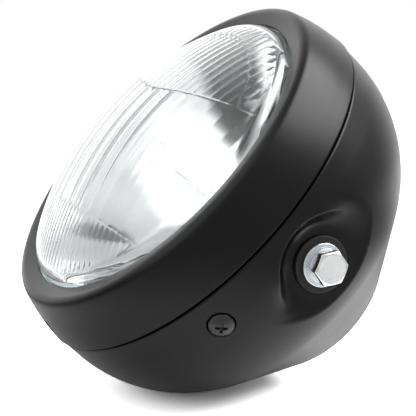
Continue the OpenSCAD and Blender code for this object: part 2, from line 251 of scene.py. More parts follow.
# ------------------------------------------------------------------ mesh helpers
def make_piece(name, verts_mm, faces, mat, replaces=(), sharp_deg=None, weld=0.0008):
    """A closed mesh from vertices in millimetres in the row frame."""
    me = bpy.data.meshes.new(name)
    me.from_pydata((np.asarray(verts_mm, float) * MM).tolist(), [], faces)
    bm = bmesh.new()
    bm.from_mesh(me)
    if weld:
        bmesh.ops.remove_doubles(bm, verts=bm.verts, dist=weld * MM)
    bmesh.ops.dissolve_degenerate(bm, dist=1e-8, edges=bm.edges)
    bmesh.ops.recalc_face_normals(bm, faces=bm.faces)
    loose = [v for v in bm.verts if not v.link_faces]
    if loose:
        bmesh.ops.delete(bm, geom=loose, context="VERTS")
    bm.to_mesh(me)
    bm.free()
    me.update()
    me.polygons.foreach_set("use_smooth", [True] * len(me.polygons))
    if sharp_deg is not None:
        me.set_sharp_from_angle(angle=math.radians(sharp_deg))
    me.materials.append(mat)
    o = bpy.data.objects.new(name, me)
    scene.collection.objects.link(o)
    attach(o, "root")
    if replaces:
        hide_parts(*replaces)
    return o


def lathe(profile, phis, closed=True):
    """Vertices (mm) and faces of a profile of (radius, distance behind the seam) turned about the optical axis."""
    prof = np.asarray(profile, float)
    n, m = len(prof), len(phis)
    c, s = np.cos(phis), np.sin(phis)
    v = np.zeros((n, m, 3))
    v[..., 0] = prof[:, :1] * c
    v[..., 1] = prof[:, 1:2] - PIV
    v[..., 2] = prof[:, :1] * s
    return v.reshape(-1, 3), grid_faces(n, m, closed)


def grid_faces(n, m, close_rows=False, close_cols=True):
    f = []
    for i in range(n if close_rows else n - 1):
        a, b = i * m, ((i + 1) % n) * m
        for j in range(m if close_cols else m - 1):
            k = (j + 1) % m
            f.append((a + j, a + k, b + k, b + j))
    return f


def arc(c, r, a0, a1, n):
    return [(c[0] + r * math.cos(math.radians(a0 + (a1 - a0) * i / n)), c[1] + r * math.sin(math.radians(a0 + (a1 - a0) * i / n))) for i in range(n + 1)]


def rounded(points, radii, n=6):
    """A closed profile with its corners rounded."""
    out, cnt = [], len(points)
    for i, (p, r) in enumerate(zip(points, radii)):
        p = np.array(p, float)
        a, b = np.array(points[i - 1], float), np.array(points[(i + 1) % cnt], float)
        if r <= 0:
            out.append(tuple(p))
            continue
        u, v = (a - p) / np.linalg.norm(a - p), (b - p) / np.linalg.norm(b - p)
        half = math.acos(max(-1, min(1, float(u @ v)))) / 2
        t = min(r / math.tan(half), 0.48 * np.linalg.norm(a - p), 0.48 * np.linalg.norm(b - p))
        r = t * math.tan(half)
        w = (u + v) / np.linalg.norm(u + v)
        c = p + w * r / math.sin(half)
        s0, s1 = p + u * t - c, p + v * t - c
        a0 = math.atan2(s0[1], s0[0])
        d = math.atan2(s1[1], s1[0]) - a0
        d = (d + math.pi) % (2 * math.pi) - math.pi
        for k in range(n + 1):
            q = a0 + d * k / n
            out.append((c[0] + r * math.cos(q), c[1] + r * math.sin(q)))
    return out


def smin(a, b, k):
    h = np.clip(0.5 + 0.5 * (b - a) / k, 0, 1)
    return b * (1 - h) + a * h - k * h * (1 - h)


def soft(x, k):
    """Softened max(x, 0)."""
    return 0.5 * (x + np.sqrt(x * x + k * k)) - 0.0


def both(a, b, n):
    """Smooth smaller of two lengths >= 0, nothing where either is nothing."""
    a, b = np.maximum(a, 1e-6), np.maximum(b, 1e-6)
    return (a ** -n + b ** -n) ** (-1.0 / n)


# ------------------------------------------------------------------ bucket
RIM, BELLY_R, BELLY_Y, CONE, REAR, REAR_R = 87.0, 62.0, 11.0, math.radians(48.5), 90.5, 20.0
SEAT_X, SEAT_Y = 75.5, 30.5
SCREW_A, SCREW_Y = math.radians(59.3), 14.3


def skin_line(t, step):
    """Half section of the bucket's skin, drawn inwards by t, from the rim to the rear hole."""
    nb = np.array([math.cos(CONE), math.sin(CONE)])
    bc = np.array([RIM - BELLY_R, BELLY_Y])
    tip0 = bc + BELLY_R * nb
    knee = np.array([(tip0 @ nb - REAR * nb[1]) / nb[0], REAR])
    kc = knee - REAR_R * (nb + np.array([0, 1.0])) / (1 + nb[1])
    pts = [(RIM - t, y) for y in np.linspace(1.95 if t == 0 else 3.0, BELLY_Y, int(9 / step(4)) + 2)[:-1]]
    s = 0.0
    while s < CONE * (BELLY_R - t):
        f = s / (BELLY_R - t)
        pts.append(tuple(bc + (BELLY_R - t) * np.array([math.cos(f), math.sin(f)])))
        s += step(pts[-1][1])
    a, b = bc + (BELLY_R - t) * nb, kc + (REAR_R - t) * nb
    n = max(2, int(np.linalg.norm(b - a) / step(70)))
    pts += [tuple(a + (b - a) * i / n) for i in range(n)]
    n = max(6, int((math.pi / 2 - CONE) * REAR_R / step(85)))
    for i in range(n + 1):
        f = CONE + (math.pi / 2 - CONE) * i / n
        pts.append(tuple(kc + (REAR_R - t) * np.array([math.cos(f), math.sin(f)])))
    pts += [(18.0, REAR - t), (14.5, REAR - t), (11.2, REAR - t)]
    return pts


def smooth01(x):
    x = np.clip(x, 0, 1)
    return x * x * (3 - 2 * x)


def press_seats(p, inset=0.0):
    """Moves skin points (seam frame, mm) onto the two pressed side seats and the two screw dishes."""
    x, y, z = p[:, 0].copy(), p[:, 1], p[:, 2]
    for s in (1, -1):
        X = s * x
        dy = y - SEAT_Y
        d = np.hypot(dy, z)
        D = X - (SEAT_X - inset)
        # ahead of the bolt the flat floor turns up into a steep wall with a rounded mouth
        turn = np.degrees(np.arctan2(np.abs(z), -dy))            # 0 straight ahead, 180 straight behind
        w = smooth01((turn - np.where(z > 0, 32, 50)) / np.where(z > 0, 50, 46))
        slope, k = 2.1 - 0.6 * w, 1.25 + 0.5 * w
        wall = slope * k * np.log1p(np.exp(np.clip((d - 17.9 - 0.8 * inset) / k, -30, 30)))
        front = smin(D, wall, 0.45 + 1.2 * w)
        # above, below and behind it the floor eases into the skin, with a low ridge where the two cross
        part = smooth01((d - 14.5 - 0.8 * inset) / (5.5 + 3.8 * np.clip(D, 0, 3)))
        easy = smin(D, np.maximum(D, 0) * part, 0.40 * (1 - part) + 0.01)
        lift = front * (1 - w) + easy * w
        near = (X > 30) & (d < 48)
        x = np.where(near, s * (SEAT_X - inset + lift), x)
    p = np.stack([x, y, z], 1)
    for s in (1, -1):
        a = np.array([s * math.sin(SCREW_A), 0, -math.cos(SCREW_A)])
        t = np.array([math.cos(SCREW_A), 0, s * math.sin(SCREW_A)])
        H = p @ a
        q = np.hypot(p[:, 1] - SCREW_Y, p @ t)
        D = H - (84.8 - inset)
        g = both(np.abs(D), 4.0 * soft(q - (5.28 + 0.8 * inset), 0.22), 6.0)
        near = (H > 60) & (q < 12) & (D > 0)
        p = p + np.outer(np.where(near, g - D, 0), a)
    return p


def bucket_piece():
    cols, a = [], -100.0

    def step_at(a):
        side = min(abs((a + 180) % 180), abs((a + 180) % 180 - 180))
        screw = min(abs(((a - t + 180) % 360) - 180) for t in (-30.7, -149.3))
        return 0.27 if screw < 5.6 else 0.38 if side < 17.5 else 0.8 if side < 25 else 2.4

    while a < 260.0 - 0.2:
        cols.append(a)
        a += step_at(a)
    phis = np.radians(np.array(cols))
    m = len(phis)
    rows = []

    def row(rho, y):
        return np.stack([rho * np.cos(phis), np.full(m, y), rho * np.sin(phis)], 1)

    for r, y in [(83.7, 1.8), (83.7, -4.7), (83.9, -5.0), (84.7, -5.0), (84.9, -4.7), (84.9, 0.3), (85.1, 0.72), (85.7, 0.8),
                 (86.1, 1.02), (86.42, 1.09), (86.68, 1.23), (86.87, 1.45), (86.97, 1.72)]:
        rows.append(row(r, y))
    for r, y in skin_line(0.0, lambda y: 0.53 if y < 60 else 1.6):
        rows.append(press_seats(row(r, y)))
    rows.append(row(11.0, REAR - 0.2))
    for r, y in skin_line(1.2, lambda y: 1.9 if y < 60 else 3.5)[::-1]:
        rows.append(press_seats(row(r, y), 1.2))
    rows.append(row(85.3, 1.8))
    v = np.concatenate(rows)
    v[:, 1] -= PIV
    print("bucket", len(rows), "rows", m, "columns", 2 * len(rows) * m, "triangles")
    return make_piece("bucket_shell", v, grid_faces(len(rows), m, True), M_PAINT, ("bucket",))


bucket = bucket_piece()

# ------------------------------------------------------------------ trim ring
LIP_R, SHEET = 71.8, 1.1


RING_R = 87.6


def trim_profile():
    face_a, face_s = np.array([LIP_R + 0.4, -22.6]), -0.2
    k, mid, rear = np.array([81.3, -24.42]), np.array([85.5, -12.5]), np.array([RING_R, -0.25])

    def line(t):
        p = [np.array([LIP_R, -21.4]), face_a, k, mid, rear]
        out = []
        for i in range(5):
            b = (p[i + 1] - p[i]) if i < 4 else (p[4] - p[3])
            a = (p[i] - p[i - 1]) if i else b
            a, b = a / np.linalg.norm(a), b / np.linalg.norm(b)
            na, nb = np.array([a[1], -a[0]]), np.array([b[1], -b[0]])
            out.append(p[i] - t * (na + nb) / (1 + na @ nb))
        return out

    pts = line(0) + line(SHEET)[::-1]
    rad = [0.45, 0.55, 4.3, 85.0, 0.95, 0.15, 84.0, 3.9, 0.2, 0.45]
    return rounded([tuple(q) for q in pts], rad, 9)


def trim_piece():
    prof = trim_profile()
    # long straight stretches get more rows, so that the slot's cut stays clean
    dense = []
    for i, p in enumerate(prof):
        q = prof[(i + 1) % len(prof)]
        dense.append(p)
        d = math.dist(p, q)
        k = int(d // 3.0)
        for j in range(1, k + 1):
            f = j / (k + 1)
            dense.append((p[0] + (q[0] - p[0]) * f, p[1] + (q[1] - p[1]) * f))
    phis = np.radians(np.arange(0, 360, 360 / 288))
    v, f = lathe(dense, phis, True)
    o = make_piece("trim_ring_shell", v, f, M_PAINT, ("trim_ring",))
    # drain slot at the bottom of the flank
    n = 14
    out = [(2.2 * math.cos(math.radians(a)), -7.6 + 2.2 * math.sin(math.radians(a))) for a in np.linspace(0, 180, n)]
    out += [(2.2 * math.cos(math.radians(a)), -10.6 + 2.2 * math.sin(math.radians(a))) for a in np.linspace(180, 360, n)]
    cv = [(x, y - PIV, -92.0) for x, y in out] + [(x, y - PIV, -79.0) for x, y in out]
    k = len(out)
    cf = [tuple(range(k)), tuple(range(2 * k - 1, k - 1, -1))] + [(i, (i + 1) % k, k + (i + 1) % k, k + i) for i in range(k)]
    cme = bpy.data.meshes.new("slot_cut")
    cme.from_pydata((np.array(cv) * MM).tolist(), [], cf)
    cut = bpy.data.objects.new("slot_cut", cme)
    scene.collection.objects.link(cut)
    bm = bmesh.new(); bm.from_mesh(cme); bmesh.ops.recalc_face_normals(bm, faces=bm.faces); bm.to_mesh(cme); bm.free()
    mod = o.modifiers.new("slot", "BOOLEAN")
    mod.operation, mod.solver, mod.object = "DIFFERENCE", "EXACT", cut
    dg = bpy.context.evaluated_depsgraph_get()
    done = bpy.data.meshes.new_from_object(o.evaluated_get(dg))
    o.modifiers.clear()
    old = o.data
    o.data = done
    done.name = "trim_ring_shell"
    bpy.data.meshes.remove(old)
    bpy.data.objects.remove(cut)
    bpy.data.meshes.remove(cme)
    done.polygons.foreach_set("use_smooth", [True] * len(done.polygons))
    done.set_sharp_from_angle(angle=math.radians(50))
    return o


trim = trim_piece()

# ------------------------------------------------------------------ glass
DOME_R, DOME_C = 132.0, 85.8      # outer dome: radius, centre behind the seam
GLASS_T = 3.4
SH_R, SH_X = 8.5, 63.0            # the shoulder between dome and side wall: radius, centre's distance from the axis
SH_Y = DOME_C - math.sqrt((DOME_R - SH_R) ** 2 - SH_X ** 2)
SH_A = math.atan2(SH_Y - DOME_C, SH_X)     # direction of the seam between dome and shoulder
R_FLUTE = 66.4                    # the fluted field ends here
DX = 0.325


def dome_y(r, t):
    """Distance behind the seam of the glass surface, t inside the outer one: dome, then shoulder."""
    r = np.asarray(r, float)
    rj = SH_X + (SH_R - t) * math.cos(SH_A)
    dome = DOME_C - np.sqrt((DOME_R - t) ** 2 - np.minimum(r, rj) ** 2)
    sh = SH_Y - np.sqrt(np.maximum((SH_R - t) ** 2 - (np.maximum(r, rj) - SH_X) ** 2, 0))
    return np.where(r <= rj, dome, sh)


def upper_line(x):
    return 17.9 + 0.167 * (np.sqrt(x * x + 36.0) - 6.0)


LOW, MID, RING = -40.8, -12.6, 57.3


def flute_height(x, z):
    """Depth of the pressed pattern, inwards, in mm."""
    r = np.hypot(x, z)
    up = upper_line(x)

    def ribs(pitch, h):
        u = (x / pitch + 0.5) % 1.0 - 0.5
        return h * (1 - 4 * u * u)

    mid = ribs(24 * DX, 0.10)
    low = ribs(10 * DX, 0.08) + 0.03
    top = ribs(14 * DX, 0.13) + 0.04
    out = ribs(14 * DX, 0.075) + 0.04
    h = np.where(z <= LOW, low, np.where(z < MID, mid + 0.04, np.where(z < up, mid, np.where(r < RING, top, out))))
    # fine ridges on the zones' borders
    ridge = lambda d, w, a: a * np.exp(-(d / w) ** 2)
    h = h + ridge(z - up, 0.42, 0.13) + ridge(z - MID, 0.4, 0.03) + ridge(z - LOW, 0.42, 0.05)
    h = h + np.where(z > up, ridge(r - RING, 0.42, 0.11), 0)
    return h * np.clip((R_FLUTE - r) / 1.0, 0, 1) ** 0.7


def border_rows(n, first, last):
    """Fractions 0..1 of a zone's height in mm-like steps that crowd towards its marked ends."""
    t = np.linspace(0, 1, n + 1)
    if first and last:
        return t - 0.115 * np.sin(2 * math.pi * t)
    if first:
        return t ** 1.7
    if last:
        return 1 - (1 - t) ** 1.7
    return t


def glass_piece():
    k = int(62.4 / DX + 0.5)
    xs = [i * DX for i in range(-k, k + 1)]
    b0 = math.degrees(math.acos(k * DX / R_FLUTE))
    side = [R_FLUTE * math.cos(math.radians(b)) for b in np.linspace(0, b0, 20)[:-1]]
    xs = np.array([-s for s in side] + xs + side[::-1])
    nc = len(xs)
    zones = [(26, False, True), (30, True, True), (34, True, True), (58, True, True), (12, True, False)]
    rows = 1 + sum(q[0] for q in zones)
    z = np.zeros((nc, rows))
    for i, x in enumerate(xs):
        e = math.sqrt(max(R_FLUTE ** 2 - x * x, 0))
        up = float(upper_line(x))
        zr = math.sqrt(max(RING ** 2 - x * x, 0))
        br = [-e, max(min(LOW, e), -e), max(min(MID, e), -e), max(min(up, e), -e)]
        br += [max(min(zr, e), br[3]), e]
        j = 0
        for (n, f, l), lo, hi in zip(zones, br[:-1], br[1:]):
            z[i, j:j + n + 1] = lo + (hi - lo) * border_rows(n, f, l)
            j += n
    X = np.repeat(xs[:, None], rows, 1)
    r = np.hypot(X, z)
    y = dome_y(r, GLASS_T) + flute_height(X, z)
    verts = [np.stack([X.ravel(), y.ravel() - PIV, z.ravel()], 1)]
    faces = []
    for i in range(nc - 1):
        for j in range(rows - 1):
            faces.append((i * rows + j, (i + 1) * rows + j, (i + 1) * rows + j + 1, i * rows + j + 1))
    # ring of border points, in order: bottom of each column, then top of each column backwards
    ring = [(i, 0) for i in range(nc)] + [(i, rows - 1) for i in range(nc - 2, 0, -1)]
    prev = [i * rows + j for i, j in ring]
    ang = np.array([math.atan2(z[i, j], X[i, j]) for i, j in ring])
    base = nc * rows

    # inner shoulder, skirt, flange, outer skirt, outer dome; coarser than the fluted field
    inner = [(q, float(dome_y(q, GLASS_T))) for q in (66.6, 66.9, 67.2, 67.5, 67.8)]
    inner += [(68.0, -21.6), (68.08, -20.5), (68.1, -19.2), (68.1, -17.3), (68.4, -16.95), (69.0, -16.9)]
    flange = [(74.8, -16.9), (75.1, -17.0), (75.2, -17.3), (75.2, -20.5), (75.1, -20.8), (74.8, -20.9), (71.9, -20.9), (71.55, -20.95), (71.47, -21.2)]
    a0 = math.degrees(SH_A)
    outer = arc((SH_X, SH_Y), SH_R, -7.5, a0, 12)
    dome = [(q, float(dome_y(q, 0.0))) for q in np.linspace(outer[-1][0], 3.0, 24)[1:]]
    prof = inner + flange + outer + dome
    pick = list(range(0, len(prev), 3))
    c, s = np.cos(ang[pick]), np.sin(ang[pick])
    m = len(pick)
    verts.append(np.concatenate([np.stack([q * c, np.full(m, yy - PIV), q * s], 1) for q, yy in prof]))
    for j in range(m):
        a, b2 = pick[j], pick[j + 1] if j + 1 < m else len(prev)
        k2 = (j + 1) % m
        fine = [prev[q % len(prev)] for q in range(a, b2 + 1)]
        faces.append((*fine, base + k2, base + j))
    cur = [base + j for j in range(m)]
    for i in range(1, len(prof)):
        nxt = [base + i * m + j for j in range(m)]
        for j in range(m):
            k2 = (j + 1) % m
            faces.append((cur[j], cur[k2], nxt[k2], nxt[j]))
        cur = nxt
    apex = base + len(prof) * m
    verts.append(np.array([[0, float(dome_y(0.0, 0.0)) - PIV, 0]]))
    for j in range(m):
        faces.append((cur[j], cur[(j + 1) % m], apex))
    print("glass", nc, "columns", rows, "rows", 2 * nc * rows + 2 * m * len(prof), "triangles")
    return make_piece("lens_glass_pressed", np.concatenate(verts), faces, M_GLASS, ("lens",), weld=0.0005)


lens = glass_piece()

# ------------------------------------------------------------------ reflector
def reflector_piece():
    D = lambda r: 32.3 - r * r / 100.0
    rs = np.linspace(69.5, 19.5, 40)
    front = [(75.2, -16.0), (69.9, -16.0)] + [(float(r), float(D(r))) for r in rs]
    neck = [(19.5, 28.9), (19.5, 33.9), (19.6, 34.0), (23.9, 34.0), (24.0, 33.9), (24.0, 33.3), (23.9, 33.2), (20.5, 33.2), (20.3, 33.0), (20.3, D(19.5) + 1.4)]
    back = [(float(r) + 0.5, float(D(r)) + 0.8) for r in rs[::-1][1:-1:2]]
    prof = front + neck + back + [(70.2, -15.2), (75.2, -15.2)]
    v, f = lathe(prof, np.radians(np.arange(0, 360, 2.0)), True)
    return make_piece("reflector_dish", v, f, M_MIRROR, ("reflector",), sharp_deg=60)


reflector = reflector_piece()


# ------------------------------------------------------------------ side hardware
def on_side(v_local, s):
    """Local x, y, outwards (mm) to the row frame for the right (s=1) or left (s=-1) bolt."""
    v = np.asarray(v_local, float)
    return np.stack([s * v[:, 2], v[:, 1], -v[:, 0]], 1)


def bolt_head(af=13.0, h=5.4, face_r=5.95, turn=-10.0):
    """A forged hexagon head with a 30 degree chamfer and softened edges, base at 0."""
    base_a = []
    for k in range(6):
        c = k * 60.0
        base_a += [c + d for d in (-26, -20, -13, -6.5, 0, 6.5, 13, 20, 26, 28.2, 29.3, 30.0, 30.7, 31.8)]
    ang = np.radians(np.array(sorted(set(np.round(np.array(base_a) % 360, 3)))))
    m = len(ang)
    rel = (np.degrees(ang) + 30) % 60 - 30
    flat = af / 2 / np.cos(np.radians(rel))
    hexr = np.minimum(flat, af / 2 / math.cos(math.radians(30)) - 0.10)
    top = np.minimum(h, h - (hexr - face_r - 0.12) * math.tan(math.radians(27)))
    rings = []
    tr = math.radians(turn)

    def ring(r, zz):
        r = np.broadcast_to(np.asarray(r, float), (m,))
        zz = np.broadcast_to(np.asarray(zz, float), (m,))
        rings.append(np.stack([r * np.cos(ang + tr), r * np.sin(ang + tr), zz], 1))

    ring(hexr - 0.35, 0.0)
    ring(hexr - 0.08, 0.08)
    ring(hexr, 0.3)
    ring(hexr, 0.3 + (top - 0.55) * 0.5)
    ring(hexr, top - 0.22)
    ring(hexr - 0.05, top - 0.08)
    ring(hexr - 0.18, top + 0.02)
    ring((hexr + face_r) / 2, np.minimum(h - 0.02, (top + h) / 2 + 0.02))
    ring(face_r + 0.16, h - 0.07)
    ring(face_r, h - 0.01)
    ring(face_r - 0.3, h)
    ring(face_r * 0.75, h - 0.03)
    ring(face_r * 0.45, h - 0.07)
    ring(face_r * 0.15, h - 0.09)
    v = np.concatenate(rings)
    f = grid_faces(len(rings), m, False)
    n = len(rings)
    f.append(tuple(range(m - 1, -1, -1)))
    c = len(v)
    v = np.concatenate([v, [[0, 0, h - 0.09]]])
    f += [((n - 1) * m + j, (n - 1) * m + (j + 1) % m, c) for j in range(m)]
    return v, f


def washer(ro, ri, h, edge=0.22, crown=0.0, gap=None, m=96):
    """A punched washer: rolled upper edge, sharp lower edge; gap cuts a spring washer's split, given in degrees."""
    prof = rounded([(ri, 0), (ro, 0), (ro, h), (ri, h)], [0.05, edge * 0.5, edge, 0.12], 5)
    if gap is None:
        ang = np.linspace(0, 2 * math.pi, m, endpoint=False)
        rise = np.zeros(m)
    else:
        c, w = gap
        ang = np.radians(np.linspace(c + w, c + 360 - w, m))
        rise = np.linspace(-0.5, 0.5, m) * crown
    n = len(prof)
    v = np.zeros((n, m, 3))
    for i, (r, zz) in enumerate(prof):
        v[i, :, 0], v[i, :, 1], v[i, :, 2] = r * np.cos(ang), r * np.sin(ang), np.clip(zz + rise, 0, h)
    f = []
    for i in range(n):
        k = (i + 1) % n
        for j in range(m if gap is None else m - 1):
            l = (j + 1) % m
            f.append((i * m + j, i * m + l, k * m + l, k * m + j))
    if gap is not None:
        f.append(tuple(i * m for i in range(n)))
        f.append(tuple(i * m + m - 1 for i in range(n - 1, -1, -1)))
    return v.reshape(-1, 3), f


def pair(name, parts, mat, replaces, sharp=None):
    """One object with the part on both sides; parts is a list of (vertices, faces, offset outwards)."""
    V, F, n = [], [], 0
    for s in (1, -1):
        for v, f, off in parts:
            w = np.array(v, float)
            w[:, 2] += off
            V.append(on_side(w, s))
            F += [tuple(i + n for i in q) for q in f]
            n += len(w)
    return make_piece(name, np.concatenate(V), F, mat, replaces, sharp_deg=sharp)


def shank(r, z0, z1, m=48):
    """Bolt shank with rolled thread grooves and a pointed end."""
    prof = [(0.2, z0), (r - 1.0, z0), (r - 0.5, z0 + 0.5)]
    zz = z0 + 1.0
    while zz < z1 - 4.5:
        prof += [(r, zz), (r, zz + 0.15), (r - 0.55, zz + 0.62), (r - 0.55, zz + 0.72)]
        zz += 1.25
    prof += [(r, zz), (r, z1), (0.2, z1)]
    ang = np.linspace(0, 2 * math.pi, m, endpoint=False)
    v = np.array([[q * math.cos(a), q * math.sin(a), h] for q, h in prof for a in ang])
    f = grid_faces(len(prof), m, False)
    f.append(tuple(range(m - 1, -1, -1)))
    f.append(tuple((len(prof) - 1) * m + j for j in range(m)))
    return v, f


hv, hf = bolt_head()
sv, sf = shank(4.0, 0.0, 18.4)
bolts = pair("side_bolt_heads", [(hv, hf, 80.6), (sv, sf, 62.5)], M_ZINC_HEAD, ("side_bolts",), 24)
wv, wf = washer(8.9, 4.2, 1.6, 0.35)
flats = pair("flat_washer_pair", [(wv, wf, 77.0)], M_ZINC, ("flat_washers",), 40)
lv, lf = washer(7.2, 4.1, 2.0, 0.2, crown=0.0, gap=(200, 3.5))
springs = pair("spring_washer_pair", [(lv, lf, 78.6)], M_ZINC, ("spring_washers",), 40)
pv, pf = washer(11.7, 4.3, 1.5, 1.25)
spacers = pair("spacer_pair", [(pv, pf, 75.5)], M_SPACER, ("side_spacers",), 40)


# ------------------------------------------------------------------ ring screws
def screw_head():
    """Domed pan head with a tapered cross recess, as a height field over its disc; base at 84.8, crown near 87.4."""
    R, n = 5.12, 46
    g = np.linspace(-1, 1, 2 * n + 1)
    u, w = np.meshgrid(g, g, indexing="ij")
    # square grid to disc
    x = R * u * np.sqrt(1 - w * w / 2)
    y = R * w * np.sqrt(1 - u * u / 2)
    r = np.hypot(x, y)
    top = 89.2 - 7.0 + np.sqrt(np.maximum(7.0 ** 2 - r ** 2, 0))
    cx = np.clip((0.62 - np.abs(y)) / 0.16, 0, 1) * np.clip((2.55 - np.abs(x)) / 0.5, 0, 1)
    cy = np.clip((0.62 - np.abs(x)) / 0.16, 0, 1) * np.clip((2.55 - np.abs(y)) / 0.5, 0, 1)
    cross = np.maximum(cx, cy)
    cross = cross * cross * (3 - 2 * cross)
    core = np.clip((1.25 - r) / 0.5, 0, 1)
    top = top - cross * (1.7 - 0.5 * np.clip(r / 2.5, 0, 1)) - core * 0.3
    k = 2 * n + 1
    v = np.stack([x.ravel(), y.ravel(), top.ravel()], 1)
    f = [(i * k + j, (i + 1) * k + j, (i + 1) * k + j + 1, i * k + j + 1) for i in range(k - 1) for j in range(k - 1)]
    ring = [(i, 0) for i in range(k)] + [(k - 1, j) for j in range(1, k)] + [(i, k - 1) for i in range(k - 2, -1, -1)] + [(0, j) for j in range(k - 2, 0, -1)]
    idx = [i * k + j for i, j in ring]
    m = len(idx)
    rx, ry = v[idx, 0], v[idx, 1]
    L = np.hypot(rx, ry)
    levels = [(1.004, 86.7), (1.004, 85.1), (0.99, 84.84), (0.95, 84.8), (0.464, 84.8), (0.464, 74.8), (0.43, 74.5)]
    prev, n0 = idx, len(v)
    ext = []
    for q, (sc, zz) in enumerate(levels):
        ext.append(np.stack([rx / L * R * sc, ry / L * R * sc, np.full(m, zz)], 1))
        cur = [n0 + q * m + j for j in range(m)]
        f += [(prev[j], prev[(j + 1) % m], cur[(j + 1) % m], cur[j]) for j in range(m)]
        prev = cur
    f.append(tuple(prev))
    return np.concatenate([v] + ext), f


def ring_screw_piece():
    v0, f0 = screw_head()
    V, F, n = [], [], 0
    for s, turn in ((1, 47.0), (-1, 63.0)):
        t = math.radians(turn)
        v = v0.copy()
        v[:, 0], v[:, 1] = v0[:, 0] * math.cos(t) - v0[:, 1] * math.sin(t), v0[:, 0] * math.sin(t) + v0[:, 1] * math.cos(t)
        a = np.array([s * math.sin(SCREW_A), 0, -math.cos(SCREW_A)])
        e = np.array([math.cos(SCREW_A), 0, s * math.sin(SCREW_A)])
        w = v[:, 2:3] * a + v[:, 0:1] * e + v[:, 1:2] * np.array([0, 1.0, 0])
        w[:, 1] += SCREW_Y - PIV
        V.append(w)
        F += [tuple(i + n for i in q) for q in f0]
        n += len(w)
    return make_piece("ring_screw_pair", np.concatenate(V), F, M_SCREW, ("ring_screws",), 50)


screws = ring_screw_piece()


# ------------------------------------------------------------------ rear grommet
def grommet_piece():
    prof = rounded([(7.0, 86.9), (13.2, 86.9), (14.0, 89.25), (10.95, 89.25), (10.95, 90.55), (14.0, 90.55), (12.6, 92.9), (10.2, 93.9), (7.0, 93.9)],
                   [0.5, 0.8, 0.5, 0.25, 0.25, 0.5, 0.9, 0.8, 0.6], 5)
    v, f = lathe(prof, np.radians(np.arange(0, 360, 3.0)), True)
    return make_piece("rear_grommet", v, f, M_RUBBER, ("wire_grommet",), 60)


grommet = grommet_piece()

# ------------------------------------------------------------------ CAD nodes that stay
KEEP = {
    "lens_gasket": (M_SILICONE, 0.15), "lens_seal": (M_BEAD, 0.15), "unit_clips": (M_STEEL, 0.08), "bulb_seat_ring": (M_STEEL, 0.08),
    "bulb_flange": (M_CAPM, 0.15), "bulb_cap": (M_CAPM, 0.25), "bulb_glass": (M_BULB, 0), "bulb_filaments": (M_WIRE, 0),
    "bulb_insulator": (M_INSUL, 0.4), "bulb_terminals": (M_BRASS, 0.12), "bulb_clip": (M_STEEL, 0), "bulb_clip_screw": (M_ZINC, 0.2),
    "bulb_boot": (M_RUBBER, 0.3), "ring_tabs": (M_PAINT, 0.2), "top_hook": (M_PAINT, 0.2), "tab_nuts": (M_ZINC, 0.3), "weld_nuts": (M_BARE, 0.3),
}
for n, (mat, bev) in KEEP.items():
    o = nodes[n]
    o.data.materials.clear()
    o.data.materials.append(mat)
    if bev:
        w = o.modifiers.new("join", "WELD")
        w.merge_threshold = 1e-6
        b = o.modifiers.new("edges", "BEVEL")
        b.width, b.segments, b.limit_method, b.angle_limit = bev * MM, 2, "ANGLE", math.radians(32)
        b.harden_normals = False

# ------------------------------------------------------------------ camera
ROT = np.array([[0.39966773471194306, 0.6624867551445558, 0.6335432116977192],
                [0.16889006456084985, 0.6260922463309416, -0.761238888376643],
                [-0.9009671736100354, 0.41124177601784656, 0.13834143896472734]])
EYE = np.array([624.369, -273.030 - PIV, -98.833]) * MM
cam_data = bpy.data.cameras.new("camera")
cam_data.sensor_width = 36.0
cam_data.lens = 18.0 * 1600.0 / 208.0
cam_data.clip_start, cam_data.clip_end = 0.05, 50.0
cam = bpy.data.objects.new("camera", cam_data)
scene.collection.objects.link(cam)
cam.matrix_world = Matrix((
    (ROT[0, 0], -ROT[1, 0], -ROT[2, 0], EYE[0]),
    (ROT[0, 1], -ROT[1, 1], -ROT[2, 1], EYE[1]),
    (ROT[0, 2], -ROT[1, 2], -ROT[2, 2], EYE[2]),
    (0, 0, 0, 1)))
scene.camera = cam

# ------------------------------------------------------------------ stage and light
UP = np.array([0.0, -0.6911, 0.7227]); UP = UP / np.linalg.norm(UP)   # the way up in the photo, in the row frame
RIGHT = ROT[0] / np.linalg.norm(ROT[0])
AWAY = ROT[2] - (ROT[2] @ UP) * UP; AWAY = AWAY / np.linalg.norm(AWAY)
RIGHT = np.cross(AWAY, UP)
FLOOR_D = 0.0673
FLOOR_SHOWN = 3.0


